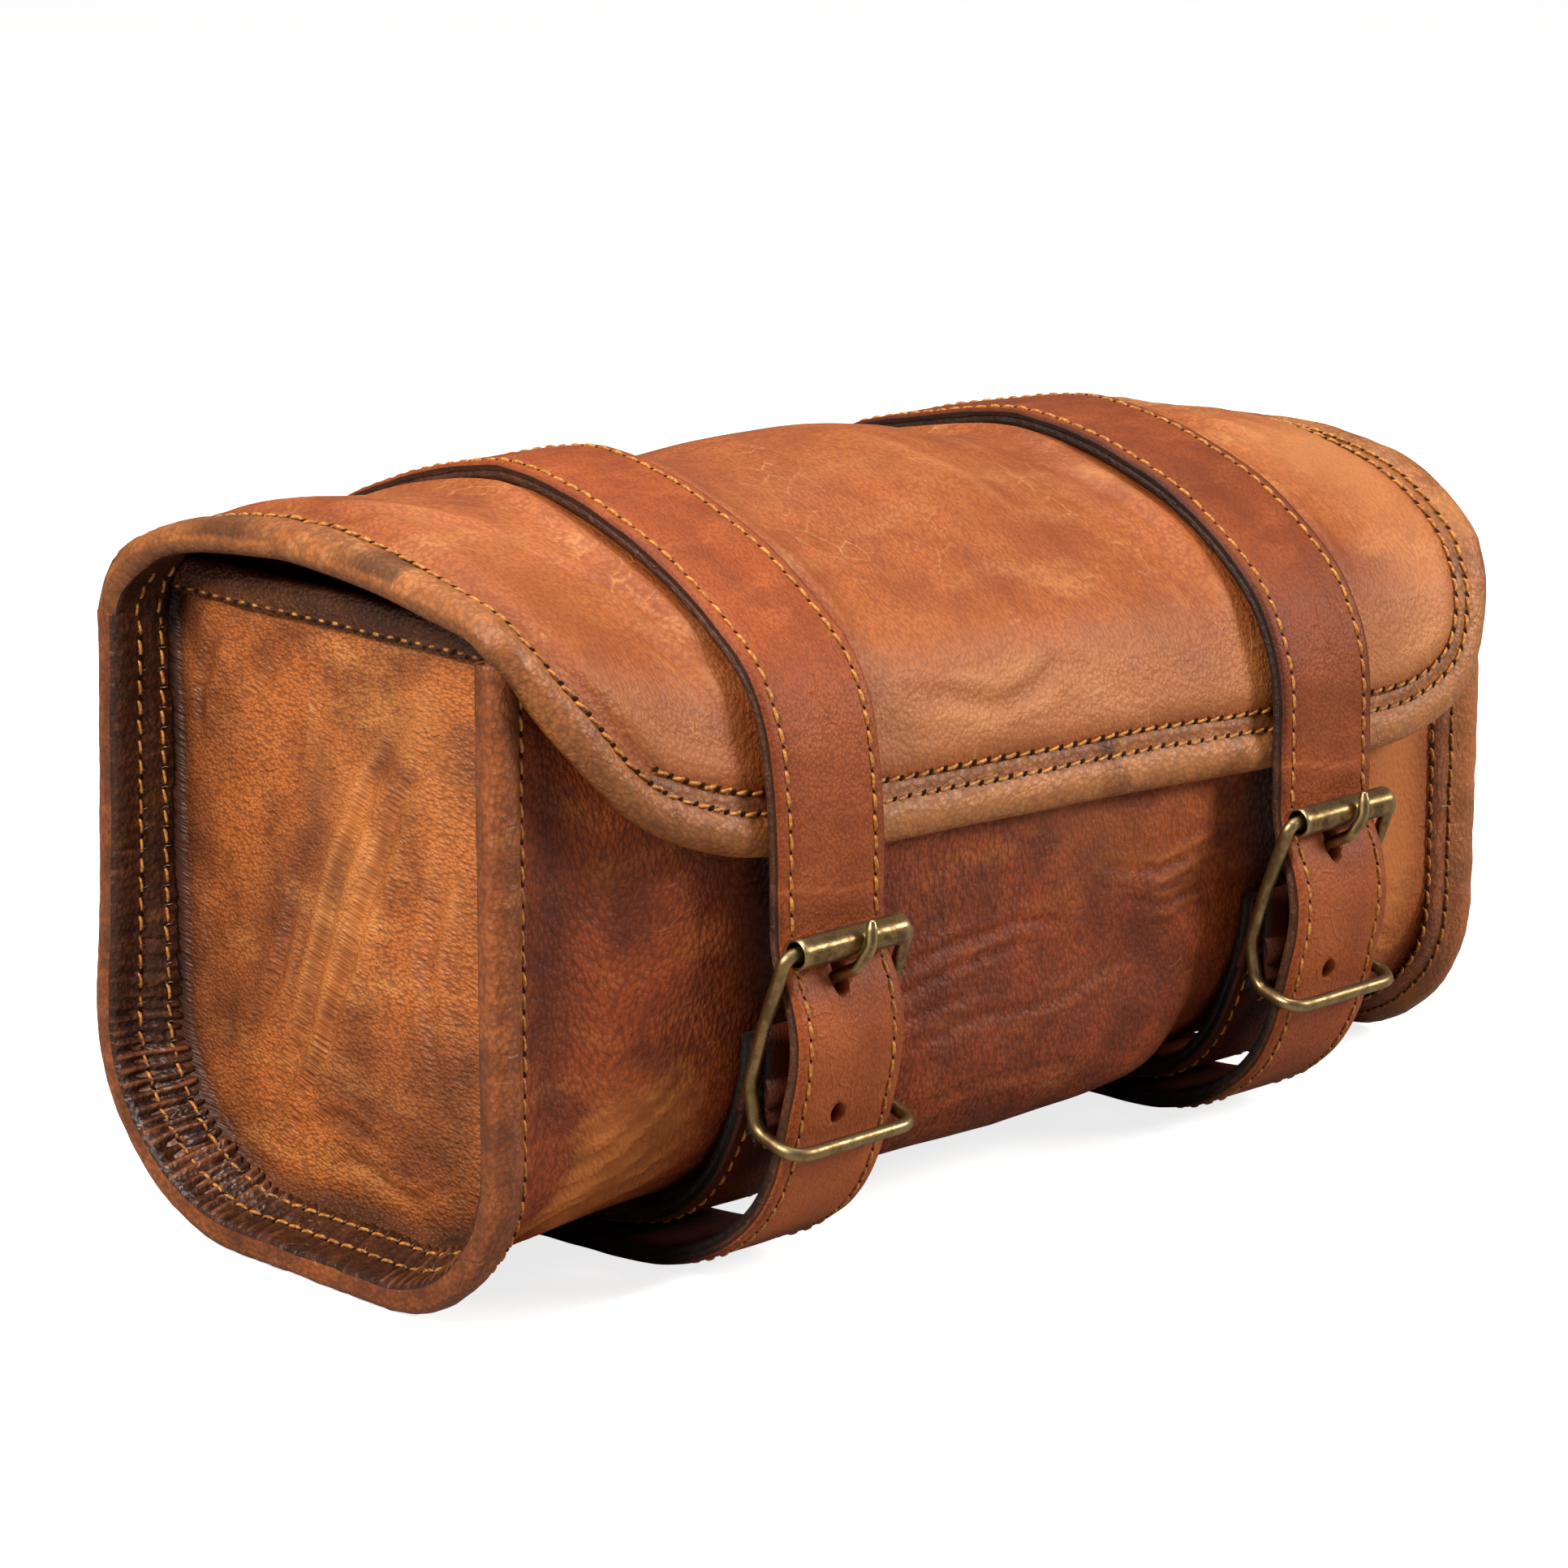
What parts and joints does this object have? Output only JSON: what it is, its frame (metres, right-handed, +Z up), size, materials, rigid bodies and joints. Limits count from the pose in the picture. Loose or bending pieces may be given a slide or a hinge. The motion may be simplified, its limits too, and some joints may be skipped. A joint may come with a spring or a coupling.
{
  "type": "saddle bag",
  "caption": "Small leather saddle bag with a fold-over lid, two wrap-round buckled straps and bound U-shaped end flanges.",
  "frame": {"origin": "centre of the bounding box, on the surface the bag stands on", "axes": "+X along the bag to its right end seen from the front, +Y to its back, +Z up"},
  "size_m": [0.305, 0.1571, 0.1642],
  "materials": {
    "leather_body": "mottled dark red-brown grained leather, satin",
    "leather_lid": "orange-brown grained leather with light scuffs, satin",
    "leather_end": "warm tan grained leather with burnished edges, satin",
    "leather_strap": "reddish tan strap leather with dark edges, satin",
    "leather_binding": "olive-tan folded binding leather with dark smudges, satin",
    "antique_brass": "antique brass, dark patina with bright worn edges"
  },
  "bodies": {
    "bag": {"body_panel": "leather_body", "mouth_binding": "leather_binding", "end_panel_left": "leather_end", "end_panel_right": "leather_end", "end_binding_left": "leather_binding", "end_binding_right": "leather_binding", "strap_left_back": "leather_strap", "strap_right_back": "leather_strap", "back_loop_left_upper": "leather_strap", "back_loop_left_lower": "leather_strap", "back_loop_right_upper": "leather_strap", "back_loop_right_lower": "leather_strap"},
    "lid": {"lid_panel": "leather_lid", "lid_binding": "leather_binding", "strap_left_front": "leather_strap", "strap_right_front": "leather_strap"},
    "buckle_left": {"buckle_frame_left": "antique_brass"},
    "roller_left": {"roller_left": "antique_brass"},
    "prong_left": {"prong_left": "antique_brass"},
    "buckle_right": {"buckle_frame_right": "antique_brass"},
    "roller_right": {"roller_right": "antique_brass"},
    "prong_right": {"prong_right": "antique_brass"}
  },
  "joints": [
    {"name": "lid_hinge", "type": "hinge", "parent": "bag", "child": "lid", "pos_m": [0, 0.07155, 0.134], "axis": [-1, 0, 0], "range_deg": [0, 120], "deforming": ["strap_left_front", "strap_right_front"]},
    {"name": "buckle_left_tilt", "type": "hinge", "parent": "bag", "child": "buckle_left", "pos_m": [-0.077, -0.06145, 0.0435], "axis": [1, 0, 0], "range_deg": [0, 12]},
    {"name": "roller_left_spin", "type": "hinge", "parent": "buckle_left", "child": "roller_left", "pos_m": [-0.077, -0.07245, 0.0744], "axis": [1, 0, 0], "continuous": true},
    {"name": "prong_left_pivot", "type": "hinge", "parent": "buckle_left", "child": "prong_left", "pos_m": [-0.0788, -0.06145, 0.0435], "axis": [1, 0, 0], "range_deg": [0, 25]},
    {"name": "buckle_right_tilt", "type": "hinge", "parent": "bag", "child": "buckle_right", "pos_m": [0.077, -0.06145, 0.0435], "axis": [1, 0, 0], "range_deg": [0, 12]},
    {"name": "roller_right_spin", "type": "hinge", "parent": "buckle_right", "child": "roller_right", "pos_m": [0.077, -0.07245, 0.0744], "axis": [1, 0, 0], "continuous": true},
    {"name": "prong_right_pivot", "type": "hinge", "parent": "buckle_right", "child": "prong_right", "pos_m": [0.0752, -0.06145, 0.0435], "axis": [1, 0, 0], "range_deg": [0, 25]}
  ]
}
